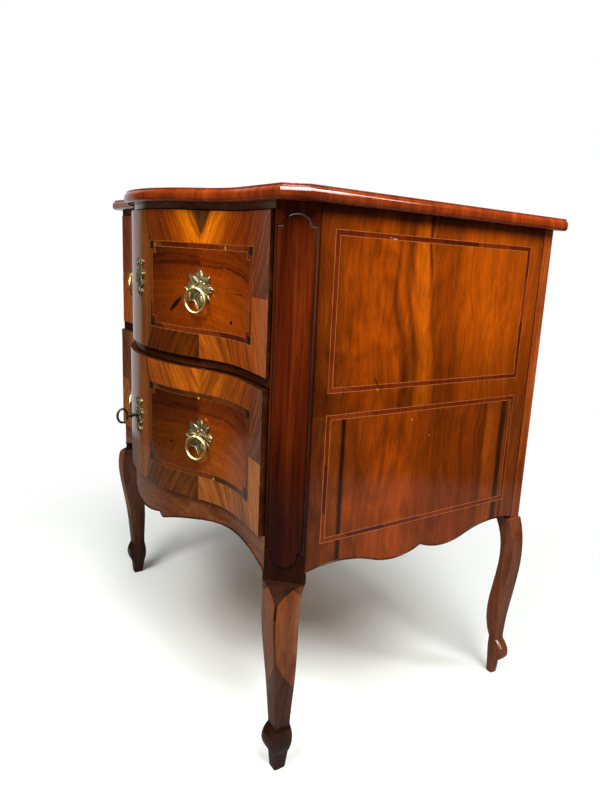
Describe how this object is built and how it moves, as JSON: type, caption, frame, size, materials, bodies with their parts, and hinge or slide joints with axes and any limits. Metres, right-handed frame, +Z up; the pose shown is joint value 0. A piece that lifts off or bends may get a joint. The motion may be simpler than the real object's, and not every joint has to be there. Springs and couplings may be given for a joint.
{
  "type": "serpentine chest of drawers",
  "caption": "Small serpentine-fronted commode in walnut veneer with full-width drawers, canted corner posts, slender cabriole legs, ring handles and working locks.",
  "frame": {"origin": "on the floor, under the middle of the bounding box", "axes": "+X to the right of someone facing the drawers, +Y to the back, +Z up"},
  "size_m": [0.779, 0.6086, 0.84],
  "materials": {
    "walnut_veneer": "figured walnut veneer with inlaid bands under a glossy French polish",
    "dark_walnut": "dark stained walnut, polished",
    "oak_lining": "plain planed oak, waxed",
    "pine_carcass": "plain planed softwood, unfinished",
    "aged_brass": "cast brass, dull with age",
    "polished_brass": "drawn brass, polished by use",
    "dark_iron": "forged iron, dark"
  },
  "bodies": {
    "carcass": {"back_boards": "pine_carcass", "back_rail_bottom": "pine_carcass", "back_rail_top": "pine_carcass", "bottom_board": "pine_carcass", "drawer_guides": "pine_carcass", "drawer_stops": "pine_carcass", "dust_board": "pine_carcass", "front_apron": "dark_walnut", "front_bottom_rail": "pine_carcass", "front_leg_left": "dark_walnut", "front_leg_right": "dark_walnut", "front_mid_rail": "dark_walnut", "front_post_left": "dark_walnut", "front_post_right": "dark_walnut", "front_top_rail": "dark_walnut", "glue_blocks": "pine_carcass", "kickers": "pine_carcass", "post_panel_left": "dark_walnut", "post_panel_right": "dark_walnut", "rear_leg_left": "dark_walnut", "rear_leg_right": "dark_walnut", "rear_post_left": "dark_walnut", "rear_post_right": "dark_walnut", "runners_lower": "pine_carcass", "runners_upper": "pine_carcass", "side_panel_left": "walnut_veneer", "side_panel_right": "walnut_veneer", "top_board": "walnut_veneer", "top_moulding_front": "dark_walnut", "top_moulding_left": "dark_walnut", "top_moulding_right": "dark_walnut"},
    "upper_drawer": {"upper_backplate_left": "aged_brass", "upper_backplate_right": "aged_brass", "upper_drawer_back": "oak_lining", "upper_drawer_bottom": "oak_lining", "upper_drawer_front": "walnut_veneer", "upper_drawer_side_left": "oak_lining", "upper_drawer_side_right": "oak_lining", "upper_escutcheon": "aged_brass", "upper_lock": "dark_iron", "upper_ring_staples": "polished_brass"},
    "lower_drawer": {"lower_backplate_left": "aged_brass", "lower_backplate_right": "aged_brass", "lower_drawer_back": "oak_lining", "lower_drawer_bottom": "oak_lining", "lower_drawer_front": "walnut_veneer", "lower_drawer_side_left": "oak_lining", "lower_drawer_side_right": "oak_lining", "lower_escutcheon": "aged_brass", "lower_lock": "dark_iron", "lower_ring_staples": "polished_brass"},
    "upper_ring_left": {"upper_ring_left": "polished_brass"},
    "upper_ring_right": {"upper_ring_right": "polished_brass"},
    "lower_ring_left": {"lower_ring_left": "polished_brass"},
    "lower_ring_right": {"lower_ring_right": "polished_brass"},
    "lower_key": {"lower_key": "dark_iron"},
    "upper_bolt": {"upper_lock_bolt": "dark_iron"},
    "lower_bolt": {"lower_lock_bolt": "dark_iron"}
  },
  "joints": [
    {"name": "upper_drawer_slide", "type": "slide", "parent": "carcass", "child": "upper_drawer", "axis": [0, -1, 0], "range_m": [0, 0.3]},
    {"name": "lower_drawer_slide", "type": "slide", "parent": "carcass", "child": "lower_drawer", "axis": [0, -1, 0], "range_m": [-0.004, 0.296]},
    {"name": "upper_ring_right_swing", "type": "hinge", "parent": "upper_drawer", "child": "upper_ring_right", "pos_m": [0.15531, -0.23092, 0.69855], "axis": [-0.8764, -0.4815, 0], "range_deg": [-5, 168]},
    {"name": "upper_ring_left_swing", "type": "hinge", "parent": "upper_drawer", "child": "upper_ring_left", "pos_m": [-0.15531, -0.23092, 0.69855], "axis": [-0.8764, 0.4815, 0], "range_deg": [-5, 168]},
    {"name": "lower_ring_right_swing", "type": "hinge", "parent": "lower_drawer", "child": "lower_ring_right", "pos_m": [0.16273, -0.23072, 0.47419], "axis": [-0.8634, -0.5046, 0], "range_deg": [-5, 168]},
    {"name": "lower_ring_left_swing", "type": "hinge", "parent": "lower_drawer", "child": "lower_ring_left", "pos_m": [-0.16273, -0.23072, 0.47419], "axis": [-0.8634, 0.5046, 0], "range_deg": [-5, 168]},
    {"name": "key_turn", "type": "hinge", "parent": "lower_drawer", "child": "lower_key", "pos_m": [0, -0.29438, 0.47419], "axis": [0, 1, 0], "range_deg": [0, 180]},
    {"name": "lower_bolt_throw", "type": "slide", "parent": "lower_drawer", "child": "lower_bolt", "axis": [0, 0, 1], "range_m": [0, 0.008]},
    {"name": "upper_bolt_throw", "type": "slide", "parent": "upper_drawer", "child": "upper_bolt", "axis": [0, 0, 1], "range_m": [0, 0.008]}
  ],
  "couplings": [
    {"joint": "key_turn", "follows": "lower_bolt_throw", "rad_per_m": 392.6}
  ]
}
